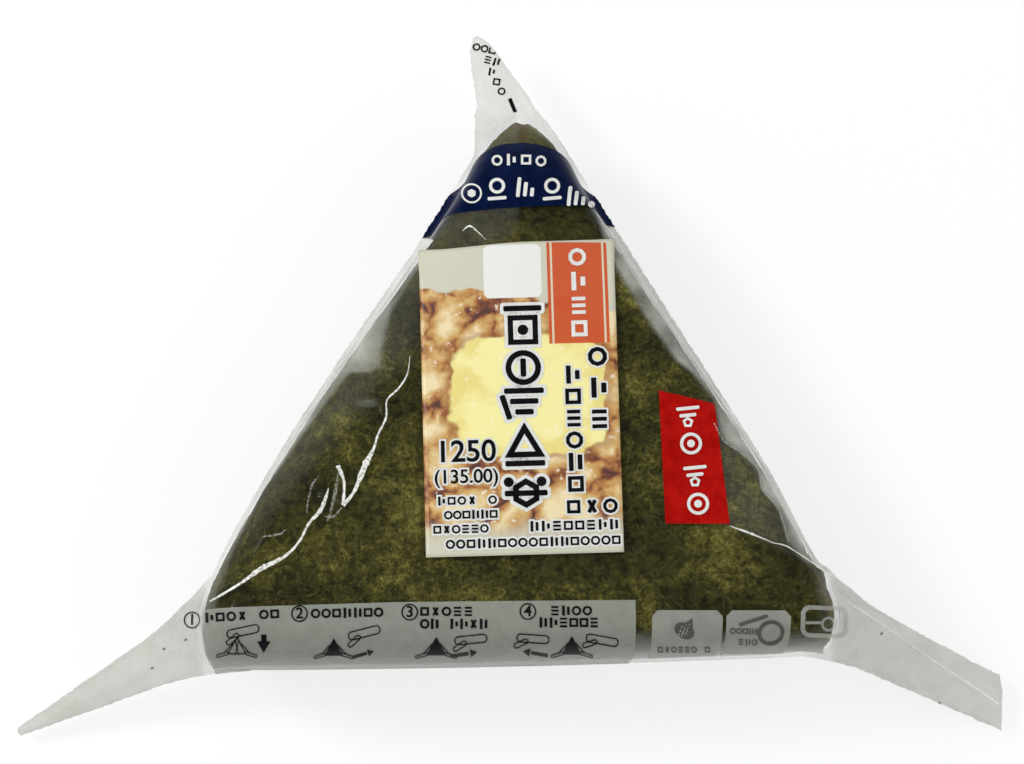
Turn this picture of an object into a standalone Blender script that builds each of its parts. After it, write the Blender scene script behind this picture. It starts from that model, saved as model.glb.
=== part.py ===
"""A triangular rice ball in a sealed clear film pack, lying on its back with its label up.

+X is to the right, +Y towards the peak and +Z up, in metres. The origin is on the flat back,
REST_UP above the base edge. "up" in this file is the distance from the base edge along +Y.
"""

import math

import bmesh
import bpy
from mathutils import Matrix, Vector

MM = 0.001

# The whole pack.
REST_UP = 30 * MM  # the origin's distance from the base edge
FILM_PEAK_UP = 86 * MM  # where the two sloping film folds would meet
FILM_SLOPE = 0.618  # half of the width gained for each unit down from that point
FILM_HALF_WIDTH = 48.6 * MM  # at the base corners, where the folds turn down
CORNER_BLEND = 3 * MM
LEFT_BULGE = 0.95 * MM  # the left fold bows out between these
LEFT_BULGE_UP = (12 * MM, 60 * MM)
RIGHT_EXTRA = 1.15 * MM  # the right fold stands further out, once above these
RIGHT_EXTRA_UP = (14 * MM, 30 * MM)

# The fold that stands out along each slope, from the stuffed part to its thin edge.
FOLD_AT_BASE = 0.9 * MM
FOLD_GROWTH = 0.03
FOLD_ON_TAB = 1.0 * MM
FOLD_NARROWS_UP = (64 * MM, 78 * MM)  # between these it falls to its width on the tab

# Thickness of the stuffed part, lying down.
FRONT_AT_BASE = 34 * MM
FRONT_AT_CROWN = 30.5 * MM
CROWN_UP = 60 * MM  # above this the front and the back close towards the peak
PEAK_UP = 81 * MM
FOLD_HEIGHT = 14 * MM  # of the side folds, above the back
SHOULDER_AT_BASE = 11 * MM
SHOULDER_AT_CROWN = 5 * MM
BASE_ROUND = 7 * MM
CORNER_ROUND = 3.5 * MM
BASE_OUT = 2.0 * MM  # the base edge bows out at its left end
BASE_BOW = 2.25 * MM  # and draws back by this much towards its right end
BASE_BOW_FADES_UP = 18 * MM
FRONT_CROWN = 0.9 * MM
BOX_POWER = 3.0  # of the rounded edges; 2 is a circle, and more is squarer

# The flat loop of film above the peak, which leans to the left.
TAB_TOP_UP = 94.8 * MM
TAB_LEFT_AT_PEAK = -6.6 * MM
TAB_LEFT_AT_TOP = -8.8 * MM
TAB_RIGHT_SLOPE = 0.61
TAB_START_UP = 70 * MM
TAB_HALF_THICK = 1.2 * MM
TAB_ROUND = 4 * MM
TAB_DROOP = 3.5 * MM

# The two ears of gathered film at the base corners.
EAR_ROOT_HEIGHT = 14 * MM
EAR_TIP_HEIGHT = 2.4 * MM
EAR_RIDGE = 0.9 * MM
LEFT_EAR = {
    "root": (-42.0 * MM, 4.6 * MM),
    "tip": (-75.1 * MM, -11.0 * MM),
    "root_half": 5.7 * MM,
    "tip_half": 0.95 * MM,
    "skew": 0.0,
}
RIGHT_EAR = {
    "root": (42.0 * MM, 6.7 * MM),
    "tip": (72.6 * MM, -6.6 * MM),
    "root_half": 5.3 * MM,
    "tip_half": 4.3 * MM,
    "skew": 0.45,
}
EAR_ROOT_THICK = 1.5 * MM
EAR_TIP_THICK = 0.7 * MM
FUNNEL_SHARE = 0.34  # of an ear's length, where it opens out into the base corner
FUNNEL_HALF = 1.9 * MM  # and what it gains there in half its width
FUNNEL_THICK = 8.5 * MM  # and in half its thickness
EAR_STEPS = 14
EAR_SIDES = 16

# The paper label.
LABEL_SIZE = (27.6 * MM, 44.5 * MM)
LABEL_CENTRE = (0.3 * MM, 35.2 * MM)
LABEL_TURN = math.radians(1.6)
LABEL_THICK = 0.25 * MM
LABEL_GAP = 0.45 * MM
LABEL_CELLS = (22, 18)

# How finely the stuffed part is divided.
SHOULDER_STEPS = 8
FLAT_STEPS = 11
BASE_STEPS = 10
BODY_STEPS = 26
CROWN_STEPS = 14
TAB_STEPS = 9


def clear_scene():
    for thing in list(bpy.data.objects):
        bpy.data.objects.remove(thing)


def finish(name, colour, roughness):
    material = bpy.data.materials.new(name)
    material.use_nodes = True
    shader = material.node_tree.nodes["Principled BSDF"]
    shader.inputs["Base Color"].default_value = (*colour, 1)
    shader.inputs["Roughness"].default_value = roughness
    shader.inputs["Metallic"].default_value = 0
    return material


def to_object(bm, name, material=None):
    """Closes the bmesh into a smooth object with outward faces."""
    bmesh.ops.recalc_face_normals(bm, faces=bm.faces)
    mesh = bpy.data.meshes.new(name)
    bm.to_mesh(mesh)
    bm.free()
    mesh.shade_smooth()
    mesh.set_sharp_from_angle(angle=math.radians(40))
    thing = bpy.data.objects.new(name, mesh)
    bpy.context.scene.collection.objects.link(thing)
    if material:
        mesh.materials.append(material)
    return thing


def mix(a, b, t):
    return a + (b - a) * t


def ease(t):
    t = min(max(t, 0.0), 1.0)
    return t * t * (3 - 2 * t)


def lesser(a, b, blend):
    """The smaller of two lengths, rounded over where they cross."""
    return (a + b - math.sqrt((a - b) ** 2 + blend**2)) / 2


def quarter(angle):
    """A point on a squarish quarter round, as shares of its two radii."""
    power = 2 / BOX_POWER
    return abs(math.cos(angle)) ** power, abs(math.sin(angle)) ** power


def film_half_width(up):
    slope = FILM_SLOPE * (FILM_PEAK_UP - up)
    half = lesser(slope, FILM_HALF_WIDTH, CORNER_BLEND)
    if up < BASE_ROUND:
        inwards = 1 - up / BASE_ROUND
        half -= CORNER_ROUND * (1 - math.sqrt(max(0.0, 1 - inwards**2)))
    return half


def left_edge(up):
    """x of the left fold: the slope, then the tab's steep edge."""
    low, high = LEFT_BULGE_UP
    along = min(1.0, max(0.0, (up - low) / (high - low)))
    slope = film_half_width(up) + LEFT_BULGE * math.sin(math.pi * along)
    lean = max(0.0, up - TAB_START_UP) / (TAB_TOP_UP - TAB_START_UP)
    tab = mix(TAB_LEFT_AT_PEAK, TAB_LEFT_AT_TOP, lean**2)
    return min(-slope, tab) + tab_corner(up)


def right_edge(up):
    """x of the right fold, which runs straight on into the tab."""
    low, high = RIGHT_EXTRA_UP
    extra = RIGHT_EXTRA * ease((up - low) / (high - low))
    if up < TAB_START_UP:
        return film_half_width(up) + extra
    start = film_half_width(TAB_START_UP) + extra
    return start - TAB_RIGHT_SLOPE * (up - TAB_START_UP) - tab_corner(up)


def tab_corner(up):
    """How far the tab's round end draws each edge in."""
    into = (up - (TAB_TOP_UP - TAB_ROUND)) / TAB_ROUND
    if into <= 0:
        return 0.0
    return TAB_ROUND * 0.6 * (1 - math.sqrt(max(0.0, 1 - into**2)))


def fold_width(up):
    start, end = FOLD_NARROWS_UP
    body = FOLD_AT_BASE + FOLD_GROWTH * up
    return mix(body, FOLD_ON_TAB, ease((up - start) / (end - start)))


def shoulder(up, width):
    """Radius of the long rounded edges, where the stuffed part is this wide."""
    radius = mix(SHOULDER_AT_BASE, SHOULDER_AT_CROWN, min(1.0, up / CROWN_UP))
    return min(radius, 0.46 * width)


def closing(up):
    """1 on the stuffed part, falling to 0 round the base edge and at the peak."""
    if up < BASE_ROUND:
        inwards = 1 - up / BASE_ROUND
        return (1 - inwards**BOX_POWER) ** (1 / BOX_POWER)
    if up > CROWN_UP:
        along = min(1.0, (up - CROWN_UP) / (PEAK_UP - CROWN_UP))
        return (1 - along**2.2) ** 0.8
    return 1.0


def fold_height(up):
    droop = TAB_DROOP * ease((up - PEAK_UP) / (TAB_TOP_UP - PEAK_UP))
    return FOLD_HEIGHT - droop


def front_rise(up):
    """Height of the front above the side folds."""
    front = mix(FRONT_AT_BASE, FRONT_AT_CROWN, up / CROWN_UP)
    return math.hypot(TAB_HALF_THICK, (front - FOLD_HEIGHT) * closing(up))


def back_drop(up):
    """Depth of the back below the side folds."""
    return max(TAB_HALF_THICK, FOLD_HEIGHT * closing(up))


def front_height(x, up):
    """z of the front face, on its flat middle and down over its rounded edges."""
    right, left = right_edge(up) - fold_width(up), left_edge(up) + fold_width(up)
    radius = shoulder(up, right - left)
    right, left = right - radius, left + radius
    share = min(1.0, max(0.0, (x - left) / (right - left)))
    crown = FRONT_CROWN * (1 - (2 * share - 1) ** 2)
    over = min(1.0, max(0.0, x - right, left - x) / radius)
    rise = front_rise(up) * (1 - over**BOX_POWER) ** (1 / BOX_POWER)
    return FOLD_HEIGHT + rise + crown


def half_section(up, rise, crown):
    """(x, height) along one face, from just inside the right fold to just inside the left one."""
    edges = right_edge(up), left_edge(up)
    fold = fold_width(up)
    walls = edges[0] - fold, edges[1] + fold
    radius = shoulder(up, walls[0] - walls[1])
    right = [(mix(walls[0], edges[0], 0.45), 0.06 * rise)]
    left = [(mix(walls[1], edges[1], 0.45), 0.06 * rise)]
    for step in range(SHOULDER_STEPS):
        angle = math.radians(mix(7, 90, step / (SHOULDER_STEPS - 1)))
        across, upwards = quarter(angle)
        right.append((walls[0] - radius * (1 - across), rise * upwards))
        left.append((walls[1] + radius * (1 - across), rise * upwards))
    points = right
    for step in range(1, FLAT_STEPS):
        share = step / FLAT_STEPS
        x = mix(walls[0] - radius, walls[1] + radius, share)
        bulge = crown * (1 - (2 * share - 1) ** 2)
        points.append((x, rise + bulge))
    return points + left[::-1]


def base_bow(x, up):
    """How far the base edge stands out at x, fading up the pack."""
    along = (x + FILM_HALF_WIDTH) / (2 * FILM_HALF_WIDTH)
    return (BASE_OUT - BASE_BOW * along**2) * (1 - ease(up / BASE_BOW_FADES_UP))


def section(up):
    """The closed outline of the pack, cut across at one distance from its base."""
    height, y = fold_height(up), up - REST_UP
    crown = FRONT_CROWN * closing(up) if up < PEAK_UP else 0.0
    outline = [(right_edge(up), 0.0)]
    outline += half_section(up, front_rise(up), crown)
    outline += [(left_edge(up), 0.0)]
    back = half_section(up, back_drop(up), 0.0)
    outline += [(x, -drop) for x, drop in reversed(back)]
    return [Vector((x, y - base_bow(x, up), height + z)) for x, z in outline]


def stations():
    """Distances from the base at which the pack is cut across, closest where it curves."""
    for step in range(BASE_STEPS):
        across, _ = quarter(math.radians(mix(8, 90, step / BASE_STEPS)))
        yield BASE_ROUND * (1 - across)
    for step in range(BODY_STEPS):
        yield mix(BASE_ROUND, CROWN_UP, step / BODY_STEPS)
    for step in range(CROWN_STEPS):
        angle = math.radians(mix(0, 88, step / CROWN_STEPS))
        yield mix(CROWN_UP, PEAK_UP, math.sin(angle))
    for step in range(TAB_STEPS):
        angle = math.radians(mix(0, 84, step / (TAB_STEPS - 1)))
        yield mix(PEAK_UP, TAB_TOP_UP, math.sin(angle))


def next_ring(bm, ring):
    """Extrudes a closed ring of vertices, and returns the new ring in the same order."""
    edges = [bm.edges.get((a, b)) for a, b in zip(ring, ring[1:] + ring[:1])]
    made = bmesh.ops.extrude_edge_only(bm, edges=edges)["geom"]
    fresh = {v for v in made if isinstance(v, bmesh.types.BMVert)}
    return [next(e.other_vert(v) for e in v.link_edges if e.other_vert(v) in fresh) for v in ring]


def loft(outlines):
    """A closed skin through a row of outlines that all have the same number of points."""
    bm = bmesh.new()
    made = bmesh.ops.create_circle(bm, cap_ends=True, segments=len(outlines[0]), radius=1)
    ring = made["verts"]
    for number, outline in enumerate(outlines):
        if number:
            ring = next_ring(bm, ring)
        for vertex, place in zip(ring, outline):
            vertex.co = place
    rim = [bm.edges.get((a, b)) for a, b in zip(ring, ring[1:] + ring[:1])]
    bmesh.ops.contextual_create(bm, geom=rim)
    return bm


def ear_outlines(ear):
    """Cross-sections of one ear, from inside the base corner out to its cut end."""
    root = Vector((*ear["root"], 0))
    tip = Vector((*ear["tip"], 0))
    along = (tip - root).normalized()
    across = Vector((0, 0, 1)).cross(along)
    outlines = []
    for step in range(EAR_STEPS + 1):
        t = step / EAR_STEPS
        middle = root.lerp(tip, t) - Vector((0, REST_UP, 0))
        middle.z = mix(EAR_ROOT_HEIGHT, EAR_TIP_HEIGHT, ease(t) * 0.5 + t * 0.5)
        funnel = max(0.0, 1 - t / FUNNEL_SHARE) ** 2
        half = mix(ear["root_half"], ear["tip_half"], t) + FUNNEL_HALF * funnel
        thick = mix(EAR_ROOT_THICK, EAR_TIP_THICK, t) + FUNNEL_THICK * funnel
        ridge = EAR_RIDGE * math.sin(math.pi * t)
        outline = []
        for side in range(EAR_SIDES):
            angle = 2 * math.pi * side / EAR_SIDES
            aside = half * math.cos(angle)
            shift = along * (-ear["skew"] * aside * t * math.copysign(1, across.y))
            fold = ridge * (1 - abs(math.cos(angle)))
            lift = thick * math.sin(angle) + fold
            outline.append(middle + across * aside + shift + Vector((0, 0, lift)))
        outlines.append(outline)
    return outlines


def join(base, other):
    """Unites another solid with base, and keeps that one out of the model."""
    other.hide_render = True
    other.display_type = "WIRE"
    union = base.modifiers.new(other.name, "BOOLEAN")
    union.operation = "UNION"
    union.solver = "EXACT"
    union.object = other


def film_pack():
    """The stuffed pack with its side folds and its tab, and the two ears united with it."""
    film = finish("clear_film", (0.055, 0.052, 0.022), 0.25)
    pack = to_object(loft([section(up) for up in stations()]), "film_pack", film)
    for name, ear in (("left_ear_shape", LEFT_EAR), ("right_ear_shape", RIGHT_EAR)):
        join(pack, to_object(loft(ear_outlines(ear)), name))
    return pack


def label():
    """The paper label, a thin plate that lies just off the front face and bends with it."""
    bm = bmesh.new()
    bmesh.ops.create_grid(bm, x_segments=LABEL_CELLS[0], y_segments=LABEL_CELLS[1], size=0.5)
    width, height = LABEL_SIZE
    bmesh.ops.scale(bm, vec=(width, height, 1), verts=bm.verts)
    bmesh.ops.rotate(bm, cent=(0, 0, 0), matrix=Matrix.Rotation(LABEL_TURN, 3, "Z"), verts=bm.verts)
    bmesh.ops.translate(bm, vec=(*LABEL_CENTRE, 0), verts=bm.verts)
    for vertex in bm.verts:
        x, up = vertex.co.x, vertex.co.y
        vertex.co = (x, up - REST_UP, front_height(x, up))
    bm.normal_update()
    for vertex in bm.verts:
        vertex.co += vertex.normal * (LABEL_GAP + LABEL_THICK)
    bmesh.ops.solidify(bm, geom=bm.faces[:], thickness=LABEL_THICK)
    return to_object(bm, "label", finish("label_paper", (0.68, 0.66, 0.53), 0.45))


def main():
    clear_scene()
    film_pack()
    label()


main()
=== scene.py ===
# %% [markdown]
# # A wrapped rice ball
# The real thing is a triangle of rice wrapped in dried seaweed and sealed in thin clear film.
# The film is printed, and a paper label is stuck on its front. The pack lies on its back.
# The solid model holds the pack's true size, so every piece here is worked out from it.

# %% Load the solid model
import math

import bmesh
import bpy
import numpy as np
from mathutils import Matrix, Vector, noise
from mathutils.bvhtree import BVHTree


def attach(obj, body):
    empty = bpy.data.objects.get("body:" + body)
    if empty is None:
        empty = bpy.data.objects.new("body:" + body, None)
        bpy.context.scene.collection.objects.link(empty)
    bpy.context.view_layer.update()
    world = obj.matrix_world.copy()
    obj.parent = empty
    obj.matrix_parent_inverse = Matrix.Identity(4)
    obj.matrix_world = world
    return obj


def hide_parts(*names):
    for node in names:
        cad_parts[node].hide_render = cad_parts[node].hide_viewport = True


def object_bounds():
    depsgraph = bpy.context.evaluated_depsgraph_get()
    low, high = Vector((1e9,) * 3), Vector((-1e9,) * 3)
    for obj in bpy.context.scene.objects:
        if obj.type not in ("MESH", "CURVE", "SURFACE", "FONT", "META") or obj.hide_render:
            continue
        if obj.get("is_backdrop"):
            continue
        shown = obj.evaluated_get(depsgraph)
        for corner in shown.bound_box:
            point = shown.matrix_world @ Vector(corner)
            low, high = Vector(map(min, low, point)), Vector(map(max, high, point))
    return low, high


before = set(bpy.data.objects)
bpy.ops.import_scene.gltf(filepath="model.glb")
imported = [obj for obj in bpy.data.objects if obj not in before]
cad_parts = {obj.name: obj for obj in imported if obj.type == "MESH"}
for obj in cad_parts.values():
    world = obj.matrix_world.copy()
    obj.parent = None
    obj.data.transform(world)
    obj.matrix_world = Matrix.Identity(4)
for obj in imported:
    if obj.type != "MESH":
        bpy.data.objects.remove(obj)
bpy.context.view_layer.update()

# %% [markdown]
# ## Sizes
# The frame's origin is on the flat back, 30 mm from the base edge. "up" is the distance from
# that edge towards the peak, which is how a packer would measure the wrapper.

# %% Named sizes
MM = 0.001
REST_UP = 30 * MM
SEAWEED_PEAK_UP = 80.3 * MM
SEAWEED_SLOPE = 0.66  # half of the width gained for each unit below the peak
SEAWEED_HALF_WIDTH = 45.3 * MM  # the sheet's cut side edges
FILM_GAP = 0.55 * MM
PRINT_LIFT = 0.06 * MM
FILM_CELL = 0.5 * MM
BALL_CELL = 0.55 * MM
LABEL_SIZE = (27.6 * MM, 44.5 * MM)
LABEL_CENTRE = Vector((0.3 * MM, 35.2 * MM - REST_UP, 0))
LABEL_TURN = math.radians(1.6)
SIGHT_PLANE = 33 * MM  # (x, up) places seen from the camera are given at this height


def mix(a, b, t):
    return a + (b - a) * t


def ease(low, high, value):
    t = min(max((value - low) / (high - low), 0.0), 1.0)
    return t * t * (3 - 2 * t)


# %% [markdown]
# ## Helpers for meshes
# A bmesh becomes an object here, with faces outward and smooth shading. `fine_skin` turns any
# closed mesh into even small squares with the voxel Remesh modifier: thin film and seaweed
# need even cells, so that small creases and grains come out the same everywhere.


# %% From bmesh to object
def to_object(bm, name, material=None):
    mesh = bpy.data.meshes.new(name)
    bm.to_mesh(mesh)
    bm.free()
    mesh.shade_smooth()
    if material:
        mesh.materials.append(material)
    thing = bpy.data.objects.new(name, mesh)
    bpy.context.scene.collection.objects.link(thing)
    return thing


def solid_copy():
    """The solid pack as one closed bmesh."""
    bm = bmesh.new()
    bm.from_mesh(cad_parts["film_pack"].data)
    bmesh.ops.remove_doubles(bm, verts=bm.verts, dist=0.01 * MM)
    return bm


def cut(bm, place, away, fill=True):
    """Slices off everything on the far side of a plane, and closes the cut if asked."""
    geom = bm.verts[:] + bm.edges[:] + bm.faces[:]
    bmesh.ops.bisect_plane(bm, geom=geom, plane_co=place, plane_no=away, clear_outer=True)
    if fill:
        rim = [edge for edge in bm.edges if edge.is_boundary]
        bmesh.ops.holes_fill(bm, edges=rim)


def fine_skin(bm, name, cell, smoothings):
    """Even square cells over a closed shape."""
    rough = to_object(bm, name)
    remesh = rough.modifiers.new("cells", "REMESH")
    remesh.mode = "VOXEL"
    remesh.voxel_size = cell
    ready = rough.evaluated_get(bpy.context.evaluated_depsgraph_get())
    mesh = bpy.data.meshes.new_from_object(ready)
    bpy.data.objects.remove(rough)
    skin = bmesh.new()
    skin.from_mesh(mesh)
    bpy.data.meshes.remove(mesh)
    for _ in range(smoothings):
        bmesh.ops.smooth_vert(skin, verts=skin.verts, factor=0.5, use_axis_x=True,
                              use_axis_y=True, use_axis_z=True)
    bmesh.ops.recalc_face_normals(skin, faces=skin.faces)
    print(name, "has", len(skin.faces), "cells")
    return skin


# %% [markdown]
# ## Helpers for materials
# Shader maths reads best as ordinary sums, so `Value` wraps a socket and turns + - * / into Math
# nodes. `Paint` is one material, or the sky: its `node` method makes any other node from its type, its
# settings and the values or links of its sockets.


# %% Shader values as Python expressions
class Value:
    def __init__(self, paint, socket):
        self.paint, self.socket = paint, socket

    def math(self, operation, *others, clamp=False):
        settings = {"operation": operation, "use_clamp": clamp}
        inputs = dict(enumerate((self, *others)))
        return self.paint.node("ShaderNodeMath", settings, inputs)

    def __add__(self, other):
        return self.math("ADD", other)

    def __sub__(self, other):
        return self.math("SUBTRACT", other)

    def __mul__(self, other):
        return self.math("MULTIPLY", other)

    def __truediv__(self, other):
        return self.math("DIVIDE", other)

    def __rsub__(self, other):
        return (self * -1) + other

    __radd__ = __add__
    __rmul__ = __mul__

    def at_least(self, other):
        return self.math("MAXIMUM", other)

    def size(self):
        return self.math("ABSOLUTE")


class Paint:
    def __init__(self, name, world=None):
        self.painted = world or bpy.data.materials.new(name)
        self.painted.use_nodes = True
        self.tree = self.painted.node_tree
        self.tree.nodes.clear()
        self.ending = "ShaderNodeOutputWorld" if world else "ShaderNodeOutputMaterial"

    def node(self, kind, settings=None, inputs=None, output=0):
        """Makes a node and returns one of its outputs."""
        made = self.tree.nodes.new(kind)
        for name, value in (settings or {}).items():
            if name == "stops":
                self.set_stops(made.color_ramp, value)
            else:
                setattr(made, name, value)
        for name, value in (inputs or {}).items():
            if isinstance(value, Value):
                self.tree.links.new(value.socket, made.inputs[name])
            else:
                made.inputs[name].default_value = value
        return Value(self, made.outputs[output])

    @staticmethod
    def set_stops(ramp, stops):
        while len(ramp.elements) < len(stops):
            ramp.elements.new(0.5)
        for element, (place, colour) in zip(ramp.elements, stops):
            element.position = place
            element.color = colour

    def place(self):
        """Object coordinates as a vector."""
        return self.node("ShaderNodeTexCoord", output="Object")

    def axes(self, vector):
        split = {"Vector": vector}
        first = self.node("ShaderNodeSeparateXYZ", inputs=split)
        node = first.socket.node
        return [Value(self, node.outputs[axis]) for axis in "XYZ"]

    def noise(self, vector, size, detail=3.0, roughness=0.55, output=0):
        """Cloudy noise whose patches are about this many metres across."""
        inputs = {"Vector": vector, "Scale": 1 / size, "Detail": detail, "Roughness": roughness}
        return self.node("ShaderNodeTexNoise", inputs=inputs, output=output)

    def step(self, value, low, high):
        """0 below low, 1 above high, smooth between."""
        inputs = {"Value": value, "From Min": low, "From Max": high}
        settings = {"interpolation_type": "SMOOTHSTEP"}
        return self.node("ShaderNodeMapRange", settings, inputs)

    def blend(self, share, first, second):
        """A colour from first to second by share."""
        inputs = {"Factor": share, 6: first, 7: second}
        return self.node("ShaderNodeMix", {"data_type": "RGBA"}, inputs, output=2)

    def bump(self, height, depth, strength=1.0, normal=None):
        inputs = {"Height": height, "Distance": depth, "Strength": strength}
        if normal:
            inputs["Normal"] = normal
        return self.node("ShaderNodeBump", inputs=inputs)

    def principled(self, **sockets):
        inputs = {name.replace("_", " "): value for name, value in sockets.items()}
        return self.node("ShaderNodeBsdfPrincipled", inputs=inputs)

    def finish(self, shader):
        out = self.tree.nodes.new(self.ending)
        self.tree.links.new(shader.socket, out.inputs["Surface"])
        return self.painted


def rgb(red, green, blue):
    """A colour written as a designer would, 0 to 255, for a socket."""
    parts = [part / 255 for part in (red, green, blue)]
    linear = [p / 12.92 if p <= 0.04045 else ((p + 0.055) / 1.055) ** 2.4 for p in parts]
    return (*linear, 1.0)


# %% [markdown]
# ## The camera
# The pack is seen from almost straight above, from the base side.

# %% Camera
VIEW_TILT = math.radians(81)
VIEW_DISTANCE = 380 * MM
VIEW_TARGET = Vector((-0.9 * MM, 9.9 * MM, 17 * MM))
LENS = 90.8

camera_data = bpy.data.cameras.new("camera")
camera_data.lens = LENS
camera_data.sensor_width = 36
camera = bpy.data.objects.new("camera", camera_data)
bpy.context.scene.collection.objects.link(camera)
bpy.context.scene.camera = camera
behind = Vector((0, -math.cos(VIEW_TILT), math.sin(VIEW_TILT)))
camera.location = VIEW_TARGET + behind * VIEW_DISTANCE
camera.rotation_euler = behind.to_track_quat("Z", "Y").to_euler()
EYE = Vector(camera.location)
print("camera at", [round(1000 * c) for c in EYE], "mm")


def seen_at(place):
    """The (x, up) where the camera sees a place, on a level plane at the front's height."""
    share = (EYE.z - SIGHT_PLANE) / (EYE.z - place.z)
    return EYE.x + (place.x - EYE.x) * share, EYE.y + (place.y - EYE.y) * share + REST_UP

# %% [markdown]
# ## The rice ball in its seaweed
# Under the film is a firm triangle wrapped in one sheet of seaweed. Its two ends stop at the base
# corners, so its sides there are cut straight. The solid pack already has the right form, so the
# ball starts as a copy of it: planes cut away the ears, the folds and the tab, and the rest is
# drawn in by the gap under the film.


# %% Cut the ball out of the solid pack
def ball_form():
    bm = solid_copy()
    for side in (-1, 1):
        edge = Vector((side * SEAWEED_HALF_WIDTH, 0, 0))
        cut(bm, edge, Vector((side, 0, 0)))
        slope = Vector((side, SEAWEED_SLOPE, 0)).normalized()
        peak = Vector((0.5 * MM * (side + 1), SEAWEED_PEAK_UP + 1.2 * MM - REST_UP, 0))
        cut(bm, peak, slope)
    cut(bm, Vector((0, SEAWEED_PEAK_UP - REST_UP, 0)), Vector((0, 1, 0)))
    return bm


ball = fine_skin(ball_form(), "seaweed_rice", BALL_CELL, 6)

# %% [markdown]
# Dried seaweed is never flat: rice grains press through it, it puckers, and at the peak it is
# gathered into a few pleats. These are moves of the mesh along its normals, small ones from
# noise and the pleats from a wave that fades away from the peak.


# %% Press the relief into the seaweed
def grain_relief(place):
    """Rounded bumps where grains press through, and soft puckers."""
    cells = noise.voronoi(place / (3.4 * MM))[0]
    bumps = 0.12 * (0.45 - min(cells[0], 0.9))
    puckers = 0.18 * noise.fractal(place / (9 * MM), 1.0, 2.1, 3)
    fine = 0.10 * noise.fractal(place / (1.6 * MM), 0.9, 2.0, 3)
    return (bumps + puckers + fine) * MM


def peak_pleats(place):
    up = place.y + REST_UP
    near = ease(64 * MM, 76 * MM, up)
    fan = place.x / max(SEAWEED_PEAK_UP + 5 * MM - up, 2 * MM)
    wave = math.cos(fan * 9.0 + 1.2 * math.sin(up / (4 * MM)))
    middle = math.exp(-((place.x - 0.6 * MM) / (0.7 * MM)) ** 2)
    return near * (0.10 * wave - 0.25 * middle) * MM


ball.normal_update()
moves = []
for vertex in ball.verts:
    depth = -FILM_GAP + grain_relief(vertex.co) + peak_pleats(vertex.co) - 0.1 * MM
    moves.append(vertex.normal * depth)
for vertex, move in zip(ball.verts, moves):
    vertex.co += move
    # The peak is a little broader than the planes leave it.
    vertex.co.x *= 1 + 0.14 * ease(67 * MM, 76 * MM, vertex.co.y + REST_UP)
    vertex.co.z = max(vertex.co.z, 0.15 * MM)

# %% [markdown]
# Seaweed is a felt of fine green-black fibres. Held to the light it is olive, where it lies on
# dark rice it is nearly black, so its colour is a cloudy mix of the two with small brighter
# flecks and strands. It is matt.


# %% Seaweed material
def seaweed_material():
    paint = Paint("seaweed")
    place = paint.place()
    x, y, _ = paint.axes(place)
    swirl = paint.noise(place, 4 * MM, 3.0, output=1)
    warped = paint.node("ShaderNodeVectorMath", {"operation": "MULTIPLY_ADD"},
                        {0: swirl, 1: (3.2 * MM,) * 3, 2: place})
    clouds = paint.noise(warped, 9 * MM, 3.0, 0.55)
    felt = paint.noise(warped, 1.5 * MM, 6.0, 0.7)
    grain = paint.noise(place, 0.45 * MM, 4.0, 0.7)
    tone = (clouds - 0.5) * 0.8 + (felt - 0.5) * 0.85 + (grain - 0.5) * 0.75 + 0.47
    stops = [
        (0.22, rgb(24, 24, 10)),
        (0.40, rgb(42, 41, 17)),
        (0.52, rgb(60, 58, 25)),
        (0.64, rgb(88, 85, 38)),
        (0.82, rgb(134, 127, 66)),
    ]
    colour = paint.node("ShaderNodeValToRGB", {"stops": stops}, {0: tone})
    strand = paint.noise(warped, 1.5 * MM, 3.0, 0.6)
    wisps = paint.step((strand - 0.5).size(), 0.03, 0.0) * paint.step(felt, 0.46, 0.62) * 0.6
    colour = paint.blend(wisps, colour, rgb(140, 134, 66))
    peak = paint.step(y, 42 * MM, 48 * MM) * 0.5
    pleat = paint.step((x - 0.6 * MM).size(), 1.5 * MM, 0.1 * MM) * paint.step(y, 42 * MM, 46 * MM)
    colour = paint.blend(peak, colour, rgb(112, 108, 62))
    colour = paint.blend(pleat * 0.7, colour, rgb(74, 58, 24))
    rough = felt * 0.25 + 0.5
    height = clouds * 0.3 + felt * 0.5 + grain * 0.3
    normal = paint.bump(height, 0.6 * MM, 0.6)
    return paint.finish(paint.principled(Base_Color=colour, Roughness=rough, Normal=normal,
                                         Specular_IOR_Level=0.03))


seaweed_ball = to_object(ball, "seaweed_rice_ball", seaweed_material())
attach(seaweed_ball, "root")
print("seaweed ball", len(seaweed_ball.data.polygons), "faces")

# %% [markdown]
# ## The film
# The film is one thin clear sheet, drawn tight over the front and loose at the folds, where it
# creases. Its mesh is the solid's own skin in even cells. Creases are low ridges along a few
# lines on the front, and loose film gets finer crinkles that run out from the base corners.


# %% Creases and crinkles
# Each crease is a line of (x, up) places in millimetres, as seen from the camera.
LEFT_CREASE = ((-42.8, 6.5), (-41.4, 7.3), (-38.5, 9.1), (-35.9, 11.0), (-33.9, 12.0),
               (-32.0, 13.2), (-30.4, 15.1), (-29.3, 17.3), (-27.8, 19.0), (-27.0, 20.8),
               (-26.6, 22.3))
UPPER_CREASE = ((-24.5, 19.9), (-22.9, 22.0), (-21.5, 25.5), (-20.3, 27.9), (-19.7, 29.9),
                (-18.6, 32.3), (-18.5, 34.7), (-17.1, 36.2), (-16.0, 37.7), (-15.5, 39.1),
                (-15.3, 41.1))
SHORT_CREASE = ((-25.3, 25.5), (-24.4, 23.1), (-24.5, 19.9))
RIGHT_FOLD = ((29.5, 17.0), (30.9, 16.5), (32.3, 16.0), (34.0, 15.3), (35.6, 14.6),
              (37.3, 14.2), (39.2, 13.0), (41.1, 11.7), (42.8, 10.5))
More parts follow.
